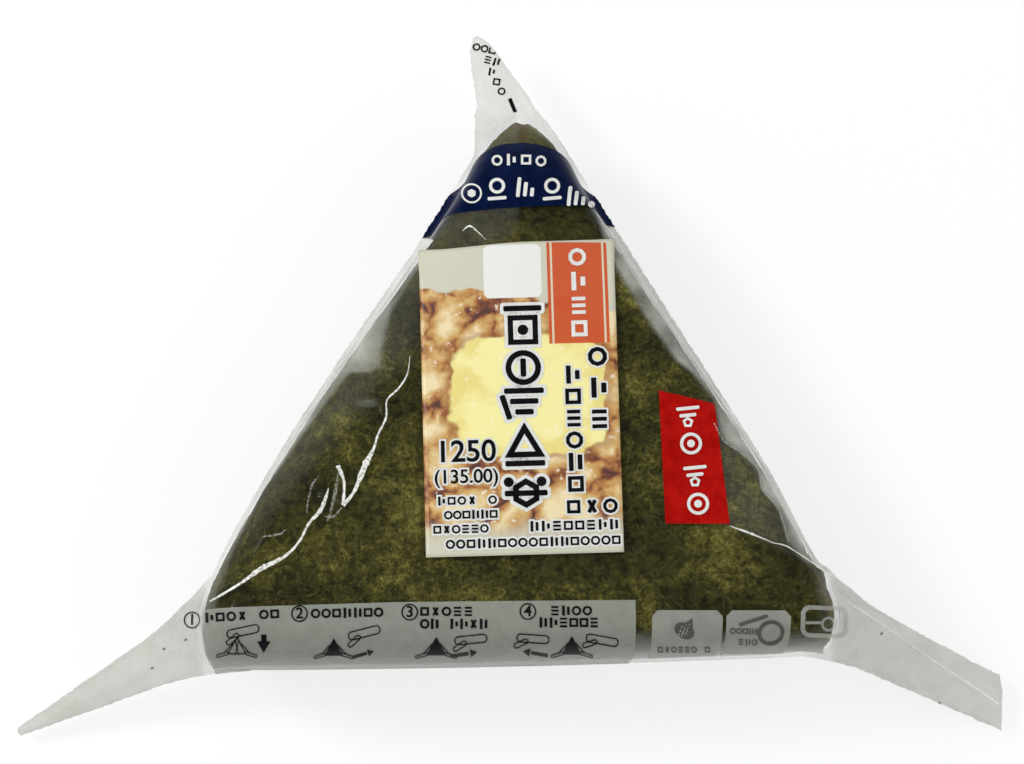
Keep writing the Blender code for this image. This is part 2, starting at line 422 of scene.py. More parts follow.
RIDGES = (
    (LEFT_CREASE, 0.34, 0.9),
    (UPPER_CREASE, 0.30, 0.8),
    (SHORT_CREASE, 0.22, 0.7),
    (RIGHT_FOLD, 0.34, 0.9),
    (((-45.0, 9.0), (-38.0, 20.5), (-30.0, 33.0)), 0.2, 1.3),
    (((41.0, 15.0), (33.0, 27.5), (25.0, 40.0)), 0.2, 1.3),
    (((-2.2, 76.0), (-3.6, 84.0), (-4.6, 92.0)), 0.22, 1.0),
    (((1.2, 78.0), (-0.4, 84.0), (-2.6, 90.5)), 0.2, 0.9),
    (((46.5, 8.6), (60.5, 2.0), (72.5, -6.2)), 0.6, 1.1),
    (((47.5, 3.0), (60.0, -2.4), (72.0, -8.6)), 0.35, 1.3),
    (((-47.0, 6.0), (-60.0, -1.6), (-73.0, -9.8)), 0.45, 1.1),
    (((-48.0, 2.0), (-58.0, -3.8), (-69.0, -9.4)), 0.3, 1.0),
    (((-49.0, -1.0), (-55.0, -5.2), (-62.0, -7.6)), 0.25, 0.8),
)


def distance_to_line(places, points):
    """Each place's distance to a line of points, by numpy, all at once."""
    nearest = np.full(len(places), np.inf)
    for first, second in zip(points, points[1:]):
        a, b = np.array(first), np.array(second)
        along = np.clip(((places - a) @ (b - a)) / ((b - a) @ (b - a)), 0, 1)
        nearest = np.minimum(nearest, np.linalg.norm(places - a - along[:, None] * (b - a), axis=1))
    return nearest


def ridge_height(places, on_front):
    """Height in metres that the creases add, at (x, up) places in millimetres."""
    height = np.zeros(len(places))
    for points, tall, half in RIDGES:
        away = distance_to_line(places, points) / half
        height += tall * np.exp(-(away**1.4)) - 0.2 * tall * np.exp(-((away - 2.2) ** 2))
    return height * on_front * MM


def looseness(x, up):
    """1 where the film hangs free of the ball, 0 where it is drawn tight over it."""
    outside = abs(x) - SEAWEED_SLOPE * (SEAWEED_PEAK_UP - up)
    free = max(ease(-3 * MM, 2 * MM, outside), ease(43 * MM, 48 * MM, abs(x)))
    return max(free, 0.6 * ease(74 * MM, 82 * MM, up), 0.5 * ease(5 * MM, 0, up))


def crinkle(place, x, up, loose):
    """Fine crinkles, longer along the folds than across them."""
    side = math.copysign(1, x)
    along = (side * x * 0.55 - up * 0.83) / (9 * MM)
    across = (side * x * 0.83 + up * 0.55) / (2.6 * MM)
    ripples = noise.fractal(Vector((along, across, place.z / (6 * MM))), 0.9, 2.0, 2)
    drift = noise.noise(place / (17 * MM))
    return (0.20 * loose * ripples + 0.14 * drift) * MM


film = fine_skin(solid_copy(), "film", FILM_CELL, 4)
film.normal_update()
for _ in range(6):
    outer = [v for v in film.verts if abs(v.co.x) > 46 * MM or v.co.y > 49 * MM]
    bmesh.ops.smooth_vert(film, verts=outer, factor=0.5, use_axis_x=True, use_axis_y=True)
film.normal_update()
spots = np.array([seen_at(v.co) for v in film.verts]) / MM
facing = np.array([min(1.0, max(0.0, v.normal.z * 2.5 - 0.2)) for v in film.verts])
ridges = ridge_height(spots, facing)
moves = []
for vertex, ridge in zip(film.verts, ridges):
    x, up = vertex.co.x, vertex.co.y + REST_UP
    flat = min(1.0, max(0.0, abs(vertex.normal.z) * 2.0 - 0.8))
    lift = ridge + crinkle(vertex.co, x, up, looseness(x, up)) * flat
    moves.append(vertex.normal * lift)
for vertex, move in zip(film.verts, moves):
    vertex.co += move
    vertex.co.z = max(vertex.co.z, 0.02 * MM)
film.normal_update()
print("film ridges up to", round(max(ridges) / MM, 2), "mm")

# %% [markdown]
# How milky the film looks changes over it: it is clearest where it is tight on the ball, and
# haziest along the folds and in the ears, where it lies double. A faint band of haze along the left
# slope is painted reflection. All of it is kept as a point attribute, which the material reads, so
# that it stays with the film.


# %% Haze, as a point attribute
# Where the loose film begins, as (up, x) places in millimetres, left and right.
LEFT_LOOSE = ((7.9, -41.9), (14.3, -39.6), (20.7, -36.5), (25.6, -33.2), (30.9, -29.6),
              (34.8, -26.8), (38.6, -23.8), (39.2, -19.3), (42.6, -19.1), (47.6, -18.0),
              (54.0, -13.9), (62.0, -11.5))
RIGHT_LOOSE = ((10.0, 41.5), (14.8, 37.6), (19.3, 36.5), (22.1, 34.1), (24.9, 33.5),
               (27.4, 31.1), (28.8, 29.1), (30.5, 28.3), (34.6, 27.7), (38.6, 24.6),
               (40.6, 22.2), (47.6, 17.4), (55.2, 13.1), (62.0, 11.0))


def along_line(line, up):
    ups, sides = zip(*line)
    return float(np.interp(up / MM, ups, sides)) * MM


def haze_at(place):
    x, up = seen_at(place)
    cloud = 0.8 + 0.9 * noise.noise(place / (5 * MM))
    if x < 0:
        out = along_line(LEFT_LOOSE, up) - x
        rim = 0.34 * ease(-0.4 * MM, 0.6 * MM, out) + 0.14 * ease(1 * MM, 4 * MM, out)
        # On the left the extra haze is a faint band along the slope, which is painted reflection, and a
        # small oval patch.
        slack_and_sheen = 0.045 * ease(-1 * MM, 4 * MM, -(x * 0.76 - (up - 41 * MM) * 0.64 + 11 * MM))
        patch = math.hypot((x + 21.3 * MM) / 2.4, up - 34.4 * MM) / (0.6 * MM)
        slack_and_sheen += 0.10 * math.exp(-patch**4)
    else:
        out = x - along_line(RIGHT_LOOSE, up)
        rim = 0.46 * ease(-0.4 * MM, 0.6 * MM, out) + 0.24 * ease(0.5 * MM, 2.5 * MM, out)
        above = ease(-0.3 * MM, 0.5 * MM, (up - 17.2 * MM) * 0.9 + (x - 29 * MM) * 0.42)
        rim *= mix(0.3, 1.0, above)
        slack_and_sheen = 0.05 * above * ease(24 * MM, 30 * MM, x)
    rim *= cloud * mix(0.3, 1.0, ease(4 * MM, 12 * MM, up)) * ease(74 * MM, 66 * MM, up)
    rim = min(rim, 0.56)
    half = SEAWEED_SLOPE * (SEAWEED_PEAK_UP - place.y - REST_UP)
    ear = 0.46 * ease(45.0 * MM, 46.6 * MM, abs(place.x))
    outside = ease(-1.0 * MM, 1.0 * MM, abs(place.x) * 0.75 - half)
    tab = 0.34 * outside * ease(68 * MM, 74 * MM, place.y + REST_UP)
    base = 0.30 * ease(3.0 * MM, -1.0 * MM, up)
    return min(0.6, 0.002 + max(rim, ear, tab, base) + slack_and_sheen)


def mark_haze(bm):
    layer = bm.verts.layers.float.new("haze")
    for vertex in bm.verts:
        vertex[layer] = haze_at(vertex.co)


mark_haze(film)


# %% Film material
def film_material():
    paint = Paint("clear_film")
    place = paint.place()
    haze = paint.node("ShaderNodeAttribute", {"attribute_name": "haze"}, output="Fac")
    crumple = paint.noise(place, 3.4 * MM, 4.0, 0.6)
    ripple = paint.noise(place, 9 * MM, 2.0, 0.5)
    normal = paint.bump(crumple * 0.35 + ripple * 0.65, 0.5 * MM, 0.3)
    gloss = paint.node("ShaderNodeBsdfGlossy",
                       inputs={"Color": (1, 1, 1, 1), "Roughness": 0.07, "Normal": normal})
    clear = paint.node("ShaderNodeBsdfTransparent", inputs={"Color": (1, 1, 1, 1)})
    edge = paint.node("ShaderNodeFresnel", inputs={"IOR": 1.09})
    behind = paint.node("ShaderNodeNewGeometry", output="Backfacing")
    film_shader = paint.node("ShaderNodeMixShader", inputs={0: edge * (1 - behind), 1: clear, 2: gloss})
    bright = paint.blend(crumple, rgb(206, 208, 198), rgb(224, 226, 217))
    doubled = paint.blend(crumple, rgb(178, 180, 168), rgb(206, 208, 197))
    x, _, _ = paint.axes(place)
    milk_tone = paint.blend(paint.step(x.size(), 45.4 * MM, 47 * MM), bright, doubled)
    milk = paint.principled(Base_Color=milk_tone, Roughness=0.4, Normal=normal)
    cloudy = haze * (crumple * 1.1 + 0.45)
    return paint.finish(
        paint.node("ShaderNodeMixShader", inputs={0: cloudy, 1: film_shader, 2: milk}))


film_stuff = film_material()

# %% [markdown]
# ## Print on the film
# Printed fields are thin copies of the film's own skin, cut out with planes and lifted a hair,
# so they bend exactly as the film does. The band round the peak is cut by two tilted planes,
# which is why it looks like an arch from the front.


# %% Cut printed fields out of the film's skin
def printed_field(name, planes, material, front_only=True):
    """A patch of the film's skin between planes, each a (place, outward direction) pair."""
    bm = film.copy()
    for place, away in planes:
        cut(bm, Vector(place), Vector(away), fill=False)
    if front_only:
        hidden = [f for f in bm.faces if f.normal.z < -0.15]
        bmesh.ops.delete(bm, geom=hidden, context="FACES")
    bm.normal_update()
    for vertex in bm.verts:
        vertex.co += vertex.normal * PRINT_LIFT
    patch = to_object(bm, name, material)
    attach(patch, "root")
    print(name, len(patch.data.polygons), "faces")
    return patch


def ink(name, dark, light, cover=1.0, rough=0.3, patch=2.0 * MM):
    """Printing ink: nearly even, with a slight mottle, and see-through where cover is below 1."""
    paint = Paint(name)
    mottle = paint.noise(paint.place(), patch, 3.0, 0.6)
    colour = paint.blend(paint.step(mottle, 0.3, 0.7), dark, light)
    return paint.finish(paint.principled(Base_Color=colour, Roughness=rough, Alpha=cover,
                                         Specular_IOR_Level=0.02))


def above(x, up, z=0.0):
    return (x * MM, up * MM - REST_UP, z * MM)


def edge_plane(first, second):
    """A vertical plane along the line between two (x, up) places, with its right side cut off."""
    a, b = Vector(above(*first)), Vector(above(*second))
    along = (b - a).normalized()
    return a, Vector((along.y, -along.x, 0))


def outline_planes(corners):
    """The planes that keep what is inside a ring of corners, given anticlockwise."""
    return [edge_plane(a, b) for a, b in zip(corners, corners[1:] + corners[:1])]


NAVY = ink("navy_ink", rgb(3, 16, 46), rgb(8, 24, 62), 0.97)
band_planes = [
    (above(0, 74.6, 27), (0, 1, -0.24)),
    (above(-3.4, 74.2, 27), (-0.34, 1, -0.24)),
    (above(3.8, 74.2, 27), (0.34, 1, -0.24)),
    (above(0, 63.0, 31), (0.06, -1, 0.0)),
]
printed_field("navy_band", band_planes, NAVY, front_only=False)

RED = ink("red_ink", rgb(160, 12, 8), rgb(186, 22, 16), 0.98)
red_corners = [(20.5, 17.3), (29.5, 17.3), (27.7, 34.5), (19.8, 36.3)]
printed_field("red_field", outline_planes(red_corners), RED)

# The strip is printed in white ink; the grey of this ink is partly painted shade.
PALE = ink("pale_ink", rgb(166, 170, 160), rgb(176, 180, 170), 0.62)
strip_corners = [(-43.9, -8), (16.4, -8), (16.2, 6.6), (-16.5, 6.3), (-44.6, 5.5)]
strip_planes = outline_planes(strip_corners) + [((0, 0, 6 * MM), (0, 0, -1))]
printed_field("step_strip", strip_planes, PALE)

PANEL = ink("panel_ink", rgb(170, 174, 165), rgb(180, 184, 175), 0.62)
for number, (left, right) in enumerate(((18.5, 28.3), (28.8, 37.8))):
    corners = [(left, -8), (right, -8), (right, 4.4), (right - 0.8, 5.2), (left + 0.8, 5.2),
               (left, 4.4)]
    panel_planes = outline_planes(corners) + [((0, 0, 21 * MM), (0, 0, -1))]
    printed_field(f"print_panel_{number + 1}", panel_planes, PANEL)

# %% [markdown]
# ## Printed marks
# The words, pictures and signs of a real pack are left out. Plain numerals, bars, rings and
# arrows stand in their places. Each mark is a flat shape laid on the film along the line of
# sight, so that it keeps its shape where the film curves away.

# %% Lay flat marks on the film
film_tree = BVHTree.FromBMesh(film)


def drop(bm, lift, tree=film_tree):
    """Moves every vertex along the line of sight onto the film, then lifts it by a little."""
    missed = []
    for vertex in bm.verts:
        aim = Vector((vertex.co.x, vertex.co.y, SIGHT_PLANE)) - EYE
        hit, normal, _, _ = tree.ray_cast(EYE, aim.normalized())
        if hit:
            vertex.co = hit + normal * lift
        else:
            missed.append(vertex)
    bmesh.ops.delete(bm, geom=missed, context="VERTS")


def settle(bm, centre, turn=0.0):
    """Turns a flat shape and moves it to its (x, up) centre, all in metres."""
    bmesh.ops.rotate(bm, cent=(0, 0, 0), matrix=Matrix.Rotation(turn, 3, "Z"), verts=bm.verts)
    bmesh.ops.translate(bm, vec=(centre[0], centre[1] - REST_UP, 0), verts=bm.verts)
    return bm


def bar(size, centre, turn=0.0, round_share=0.3, sides=12):
    """A flat bar with rounded corners, from a circle whose quarters are moved apart."""
    bm = bmesh.new()
    radius = round_share * min(size)
    bmesh.ops.create_circle(bm, cap_ends=True, segments=sides, radius=radius)
    spin = Matrix.Rotation(math.pi / sides, 3, "Z")
    bmesh.ops.rotate(bm, cent=(0, 0, 0), matrix=spin, verts=bm.verts)
    for vertex in bm.verts:
        vertex.co.x += math.copysign(size[0] / 2 - radius, vertex.co.x)
        vertex.co.y += math.copysign(size[1] / 2 - radius, vertex.co.y)
    return settle(bm, centre, turn)


def disc(radius, centre, sides=24, turn=0.0, squash=1.0):
    """A flat disc, or with few sides a triangle, diamond or star-like shape, first corner up."""
    bm = bmesh.new()
    bmesh.ops.create_circle(bm, cap_ends=True, segments=sides, radius=radius)
    bmesh.ops.scale(bm, vec=(1, squash, 1), verts=bm.verts)
    return settle(bm, centre, turn)


def hollow(bm, width):
    """Takes the middle out of a flat shape, to leave an outline of this width."""
    middle = bm.faces[:]
    bmesh.ops.inset_region(bm, faces=middle, thickness=width, use_boundary=True,
                           use_even_offset=True)
    bmesh.ops.delete(bm, geom=middle, context="FACES")
    return bm


def ring(radius, width, centre, sides=28, turn=0.0, squash=1.0):
    return hollow(disc(radius, centre, sides, turn, squash), width)


def numeral(text, height, centre, turn=0.0, grow=0.0):
    """Plain numerals from the built-in font, made a mesh before they are placed."""
    curve = bpy.data.curves.new("numeral", "FONT")
    curve.body = text
    curve.align_x, curve.align_y = "CENTER", "CENTER"
    curve.size = height / 0.7
    curve.offset = height * 0.02 + grow
    text_object = bpy.data.objects.new("numeral", curve)
    mesh = bpy.data.meshes.new_from_object(text_object)
    bm = bmesh.new()
    bm.from_mesh(mesh)
    bpy.data.objects.remove(text_object)
    bpy.data.curves.remove(curve)
    bpy.data.meshes.remove(mesh)
    return settle(bm, centre, turn)


def joined(shapes):
    """One bmesh from several."""
    whole = bmesh.new()
    for shape in shapes:
        mesh = bpy.data.meshes.new("shape")
        shape.to_mesh(mesh)
        shape.free()
        whole.from_mesh(mesh)
        bpy.data.meshes.remove(mesh)
    return whole


def arrow(length, width, centre, turn):
    """A straight arrow that points along its own +X before it is turned."""
    shaft = bar((length * 0.62, width * 0.42), (-length * 0.19, REST_UP), 0.0, 0.1)
    head = disc(width * 0.62, (length * 0.25, REST_UP), 3, math.radians(-90))
    return settle(joined([shaft, head]), centre, turn)


def writing(first, last, height, seed=0, grow=0.0):
    """A row of small plain signs between two (x, up) places in millimetres, in place of words."""
    start, end = Vector(first), Vector(last)
    pitch = height * 1.02
    count = max(1, round((end - start).length / pitch))
    lean = math.atan2((end - start).y, (end - start).x)
    shapes = []

    def stroke(wide, high, spot, turn):
        size = (wide * tall + 2 * grow, high * tall + 2 * grow)
        shapes.append(bar(size, spot, turn, 0.2, 8))

    def loop(radius, spot, sides, turn):
        size = radius * tall + grow / math.cos(math.pi / sides)
        shapes.append(ring(size, 0.2 * tall + 2 * grow, spot, sides, turn))

    for n in range(count):
        kind = (seed * 5 + n * n * 3 + n * 7) % 7
        x, up = (start.lerp(end, (n + 0.5) / count)) * MM
        tall = height * MM
        if kind in (0, 4):
            stroke(0.26, 1.0, (x - 0.22 * tall, up), lean)
            stroke(0.26, 0.5 + 0.08 * kind, (x + 0.26 * tall, up), lean)
        elif kind in (1, 5):
            loop(0.48, (x, up), 10, lean)
        elif kind == 2:
            for step in (-0.36, 0.0, 0.36):
                spot = (x - step * tall * math.sin(lean), up + step * tall * math.cos(lean))
                stroke(0.72, 0.2, spot, lean)
        elif kind == 3:
            loop(0.6, (x, up), 4, lean + math.radians(45))
        elif n % 2:
            stroke(0.24, 0.9, (x, up), lean + 0.5)
            stroke(0.24, 0.9, (x, up), lean - 0.5)
    return shapes


def marks(name, shapes, material, lift, tree=film_tree, cell=0.6 * MM):
    """Joins flat shapes into one printed piece that lies on the film."""
    whole = joined(shapes)
    bmesh.ops.triangulate(whole, faces=whole.faces[:])
    for _ in range(4):
        long = [e for e in whole.edges if e.calc_length() > cell]
        if long:
            bmesh.ops.subdivide_edges(whole, edges=long, cuts=1)
            bmesh.ops.triangulate(whole, faces=whole.faces[:])
    whole.normal_update()
    down = [f for f in whole.faces if f.normal.z < 0]
    bmesh.ops.reverse_faces(whole, faces=down)
    drop(whole, lift, tree)
    piece = to_object(whole, name, material)
    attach(piece, "root")
    print(name, len(piece.data.polygons), "faces")
    return piece


# %% [markdown]
# The strip along the base shows four opening steps. Each has a numeral in a ring, one or
# two short rows for its words, and a small picture: a pack, an arrow and a rounded outline for a hand.

# %% Marks of the four steps
BLACK = ink("black_ink", rgb(12, 12, 14), rgb(22, 22, 25), 1.0, 0.4)
WHITE = ink("white_ink", rgb(222, 224, 219), rgb(234, 235, 231), 1.0, 0.4)
MARK_LIFT = 0.16 * MM


def at(x, up):
    return (x * MM, up * MM)


def circled(number, x, up):
    return [ring(1.16 * MM, 0.18 * MM, at(x, up), 28), numeral(number, 1.5 * MM, at(x, up))]


def hand(x, up, turn):
    """A long rounded outline with a thumb, for a hand."""
    palm = bar((4.6 * MM, 1.25 * MM), (0, REST_UP), 0.0, 0.48, 20)
    thumb = bar((2.2 * MM, 0.8 * MM), (-1.6 * MM, REST_UP - 0.75 * MM), 0.5, 0.48, 12)
    both = joined([hollow(palm, 0.15 * MM), hollow(thumb, 0.14 * MM)])
    return [settle(both, at(x, up), math.radians(turn))]


def tent(x, up, size, filled):
    """A pack seen from its side: a triangle with a foot on each side."""
    if filled:
        body = [disc(size * MM, at(x, up), 3, 0.0, 1.05)]
    else:
        body = [ring(size * MM, 0.14 * MM, at(x, up), 3, 0.0, 1.05)]
        body.append(bar((0.13 * MM, size * 1.4 * MM), at(x, up + 0.1), 0.25))
        body.append(bar((0.13 * MM, size * 1.4 * MM), at(x, up + 0.1), -0.25))
    low = up - size * 0.62
    for side in (-1, 1):
        foot = bar((1.9 * MM, 0.5 * MM), at(x + side * size * 1.25, low + 0.1), side * -0.3, 0.48)
        body.append(hollow(foot, 0.13 * MM))
        body.append(bar((0.14 * MM, size * 1.2 * MM), at(x + side * size * 0.75, up), side * 0.75))
    return body


step_shapes = []
for number, x, up in (("1", -45.2, 3.9), ("2", -30.4, 4.8), ("3", -15.1, 5.0), ("4", 1.3, 5.1)):
    step_shapes += circled(number, x, up)
for seed, (first, last) in enumerate((
        ((-43.6, 4.2), (-33.1, 4.8)), ((-28.9, 4.8), (-18.7, 5.0)), ((-13.8, 5.1), (-6.2, 5.1)),
        ((-13.7, 3.4), (-4.2, 3.4)), ((2.8, 5.2), (10.3, 5.2)), ((2.7, 3.6), (11.2, 3.6)))):
    step_shapes += writing(first, last, 1.4, seed)
for x, up, size, filled in ((-39.0, 0.1, 1.55, False), (-25.6, -0.1, 1.5, True),
                            (-11.4, 0.0, 1.6, True), (7.4, 0.1, 1.6, True)):
    step_shapes += tent(x, up, size, filled)
for x, up, turn in ((-38.2, 2.4, 12), (-21.4, 2.2, 14), (-6.6, 1.3, 6), (2.0, 1.4, -4),
                    (11.6, 1.2, -10)):
    step_shapes += hand(x, up, turn)
for x, up, length, width, turn in ((-35.3, 1.0, 1.9, 1.7, -90), (-21.4, -0.7, 3.4, 0.9, 16),
                                   (-7.4, -0.7, 4.2, 1.0, 9), (2.2, -0.6, 3.8, 1.0, 170)):
    step_shapes.append(arrow(length * MM, width * MM, at(x, up), math.radians(turn)))
marks("step_marks", step_shapes, BLACK, MARK_LIFT, cell=0.5 * MM)

# %% Marks on the band, the red field, the panels and the tab
band_shapes = []
for n, (x, up) in enumerate(((-3.0, 69.3), (-1.0, 69.4), (1.1, 69.4), (3.2, 69.2))):
    band_shapes += writing((x - 0.9, up), (x + 0.9, up), 1.7, (1, 0, 2, 3)[n])
band_shapes += [ring(1.45 * MM, 0.26 * MM, at(-6.6, 64.5), 28), disc(0.62 * MM, at(-6.6, 64.5), 6)]
for n, (x, up) in enumerate(((-3.0, 65.1), (1.0, 65.4), (4.8, 65.1), (8.2, 64.1))):
    if n % 2:
        for tall, aside, low in ((2.9, -0.95, 0.0), (2.1, 0.0, 0.3), (1.3, 0.95, 0.7)):
            band_shapes.append(bar((0.55 * MM, tall * MM), at(x + aside, up - low), -0.1, 0.4))
    else:
        band_shapes.append(ring(1.15 * MM, 0.45 * MM, at(x, up + 0.5), 24))
        band_shapes.append(bar((2.7 * MM, 0.5 * MM), at(x, up - 1.3), 0.08, 0.4))
band_shapes.append(disc(0.5 * MM, at(10.3, 62.9), 16))
marks("band_marks", band_shapes, WHITE, MARK_LIFT)

red_shapes = []
for n, (x, up) in enumerate(((23.8, 32.7), (24.2, 28.6), (24.7, 24.3), (25.1, 20.1))):
    if n % 2:
        red_shapes.append(ring(1.55 * MM, 0.45 * MM, at(x, up), 28))
        red_shapes.append(disc(0.55 * MM, at(x, up), 16))
    else:
        for wide, high in ((3.3, 0.9), (2.4, -0.1)):
            red_shapes.append(bar((wide * MM, 0.5 * MM), at(x, up + high), 0.1, 0.45))
        red_shapes.append(ring(0.8 * MM, 0.34 * MM, at(x, up - 1.1), 5))
marks("red_field_marks", red_shapes, WHITE, MARK_LIFT)

GREY = ink("grey_ink", rgb(78, 80, 72), rgb(92, 94, 86), 0.85, 0.4)
panel_shapes = [disc(1.45 * MM, at(23.0, 2.5), 20, -0.5, 0.72), disc(0.9 * MM, at(23.7, 3.4), 3, -0.5)]
panel_shapes += writing((19.2, -0.1), (27.6, -0.1), 0.9, 2)
panel_shapes += writing((29.3, 2.5), (33.6, 2.4), 0.9, 1) + writing((29.4, 1.0), (33.2, 0.9), 0.9, 4)
panel_shapes += [ring(1.9 * MM, 0.5 * MM, at(35.0, 2.2), 24, 0.4, 0.9),
                 bar((4.2 * MM, 0.5 * MM), at(32.6, 3.9), 0.3, 0.45)]
marks("panel_marks", panel_shapes, GREY, MARK_LIFT)
LOOP = ink("loop_ink", rgb(176, 180, 172), rgb(190, 193, 186), 0.6)
loop_shapes = [bar((0.22 * MM, 1.7 * MM), at(22.4 + 0.5 * n, 2.4 + 0.1 * n), -0.35) for n in range(3)]
loop_shapes += [hollow(bar((6.6 * MM, 4.4 * MM), at(42.4, 3.7), -0.05, 0.3), 0.6 * MM),
               ring(1.0 * MM, 0.34 * MM, at(42.9, 3.4), 20), bar((2.2 * MM, 0.4 * MM), at(40.9, 3.6))]
marks("loop_mark", loop_shapes, LOOP, MARK_LIFT)

tab_shapes = writing((-6.5, 86.2), (-3.2, 85.4), 1.2, 1) + writing((-6.1, 84.6), (-2.6, 83.7), 1.2, 4)
for n, (x, up) in enumerate(((-3.8, 82.4), (-3.1, 80.9), (-2.4, 79.5))):
    tab_shapes += writing((x - 0.6, up + 0.1), (x + 0.6, up - 0.1), 1.2, (0, 2, 3)[n])
tab_shapes.append(numeral("1", 2.0 * MM, at(-0.8, 77.3), math.radians(22), 0.1 * MM))
marks("tab_marks", tab_shapes, BLACK, MARK_LIFT)

# %% [markdown]
# Sharp folds in the film show bright lines. Those lines are painted highlights, slim ribbons that
# follow the creases, thick where two creases meet and broken where the fold is softer.


# %% Painted highlights along the creases
def curve_point(points, t):
    """A smooth curve through points, at t counted in points."""
    i = min(int(t), len(points) - 2)
    near = [Vector(points[min(max(k, 0), len(points) - 1)]) for k in (i - 1, i, i + 1, i + 2)]
    f = t - i
    a = near[1] * 2
    b = near[2] - near[0]
    c = near[0] * 2 - near[1] * 5 + near[2] * 4 - near[3]
    d = near[1] * 3 - near[0] - near[2] * 3 + near[3]
    return (a + b * f + c * f * f + d * f**3) / 2


def ribbon(points, widths):
    """A strip along a line of (x, up) places, with a width at each of a few even places."""
    bm = bmesh.new()
    last = len(points) - 1
    bmesh.ops.create_grid(bm, x_segments=8 * last, y_segments=1, size=0.5)
    for vertex in bm.verts:
        share = vertex.co.x + 0.5
        t = share * last
        place = curve_point(points, min(t, last - 1e-4))
        ahead = curve_point(points, min(t + 0.05, last - 1e-4))
        back = curve_point(points, max(t - 0.05, 0))
        along = (ahead - back).normalized()
        width = curve_point([(w, 0) for w in widths], min(share * (len(widths) - 1),
                                                          len(widths) - 1 - 1e-4)).x
        width *= 1 + 0.3 * math.sin(17 * t) * math.sin(5.3 * t)
        aside = Vector((-along.y, along.x)) * (width * (1 if vertex.co.y > 0 else -1) / 2)
        spot = (place + aside) * MM
        vertex.co = (spot.x, spot.y - REST_UP, 0)
    return bm


def painted_highlight_stuff(name, tone, least, most):
    """Painted highlight: a pale colour whose cover breaks up in fine fibres."""
    paint = Paint(name)
    fibres = paint.noise(paint.place(), 0.32 * MM, 3.0, 0.6)
    cover = paint.step(fibres, 0.36, 0.54) * (most - least) + least
    return paint.finish(paint.principled(Base_Color=tone, Roughness=0.3, Alpha=cover))


# Both materials are painted highlights: the bright lines along the creases and the fainter ones beside
# them.
PAINTED_CREASE_HIGHLIGHT = painted_highlight_stuff("crease_highlight_paint", rgb(236, 238, 230), 0.42, 1.0)
PAINTED_SOFT_HIGHLIGHT = painted_highlight_stuff("soft_highlight_paint", rgb(214, 216, 206), 0.04, 0.34)
bright_highlight_lines = [
    ribbon(LEFT_CREASE, (0.22, 0.3, 0.34, 0.62, 0.5, 0.36, 0.3, 0.32, 0.5, 0.4, 0.12)),
    ribbon(UPPER_CREASE, (0.5, 0.42, 0.8, 0.36, 0.26, 0.26, 0.2, 0.26, 0.2, 0.14, 0.06)),
    ribbon(SHORT_CREASE, (0.55, 0.34, 0.45)),
    ribbon(RIGHT_FOLD[:5], (0.1, 0.22, 0.3, 0.14, 0.1)),
    ribbon(RIGHT_FOLD[4:], (0.1, 0.16, 0.14, 0.2, 0.1)),
    ribbon(((39.7, 14.6), (40.2, 13.0)), (0.1, 0.2)),
    ribbon(((-7.9, 59.1), (-6.9, 59.8), (-5.7, 58.9), (-4.6, 57.8)), (0.06, 0.26, 0.14, 0.06)),
    ribbon(((45.6, 6.4), (49.3, 4.0), (54.1, 0.6), (58.9, -2.7), (63.1, -5.4), (66.3, -7.7)),
           (0.2, 0.34, 0.2, 0.26, 0.3, 0.2)),
]
marks("painted_crease_highlights", bright_highlight_lines, PAINTED_CREASE_HIGHLIGHT, 0.1 * MM, cell=0.5 * MM)
soft_highlight_lines = [
    ribbon(((-29.6, 18.7), (-29.3, 21.1), (-28.7, 23.1), (-27.8, 24.0)), (0.14, 0.24, 0.3, 0.2)),
    ribbon(((-35.7, 15.5), (-33.3, 15.9), (-32.5, 16.5)), (0.2, 0.3, 0.14)),
    ribbon(((-26.7, 17.6), (-25.9, 20.4), (-25.5, 22.6), (-25.2, 24.6)), (0.15, 0.5, 0.4, 0.15)),
    ribbon(((-27.2, 18.4), (-25.9, 18.3), (-24.7, 19.6)), (0.15, 0.3, 0.2)),
    ribbon(((43.5, 10.0), (45.9, 7.0), (51.4, 4.4), (57.9, 1.6), (63.2, -1.4), (65.3, -3.2),
            (66.1, -5.4)), (0.25, 0.4, 0.3, 0.35, 0.4, 0.3, 0.3)),
    ribbon(((53.4, -5.6), (60.9, -8.9), (66.3, -11.2)), (0.2, 0.3, 0.35)),
    ribbon(((-45.6, 4.8), (-51.1, 1.2), (-56.5, -2.5), (-62.0, -6.4), (-67.0, -10.2)),
           (0.3, 0.45, 0.3, 0.4, 0.25)),
    ribbon(((27.4, 31.6), (28.9, 28.9), (31.1, 27.4), (33.5, 24.9), (34.1, 22.1), (36.3, 19.3),
            (37.6, 14.8)), (0.2, 0.2, 0.3, 0.2, 0.2, 0.3, 0.2)),
]
marks("painted_soft_highlights", soft_highlight_lines, PAINTED_SOFT_HIGHLIGHT, 0.08 * MM, cell=0.5 * MM)
specks = [disc(0.24 * MM, at(x, up), 8, 0.6, 0.6) for x, up in (
    (-49.1, -0.1), (-50.7, -2.7), (-46.1, 1.2), (50.3, 2.0), (58.1, -7.5))]
marks("specks", specks, GREY, 0.1 * MM)

# %% [markdown]
# The film's own mesh is finished now, so it becomes a piece. It stands for the solid pack,
# which stays hidden and keeps the collision.

# %% The film piece
film_piece = to_object(film, "film_bag", film_stuff)
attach(film_piece, "root")
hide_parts("film_pack")

# %% [markdown]
# ## The paper label
# The label is printed paper stuck on the film. It is a fine grid dropped onto the film, so it
# bends over the shoulders near its top, with a thin wall for its paper.

# %% Label sheet
LABEL_CELLS = (46, 74)
LABEL_LIFT = 0.12 * MM
PAPER = 0.14 * MM


def label_place(u, v):
    """(x, up) of a place on the label, from its own millimetres: u right and v up."""
    turned = Matrix.Rotation(LABEL_TURN, 2) @ Vector((u * MM, v * MM))
    return LABEL_CENTRE.x + turned.x, LABEL_CENTRE.y + REST_UP + turned.y


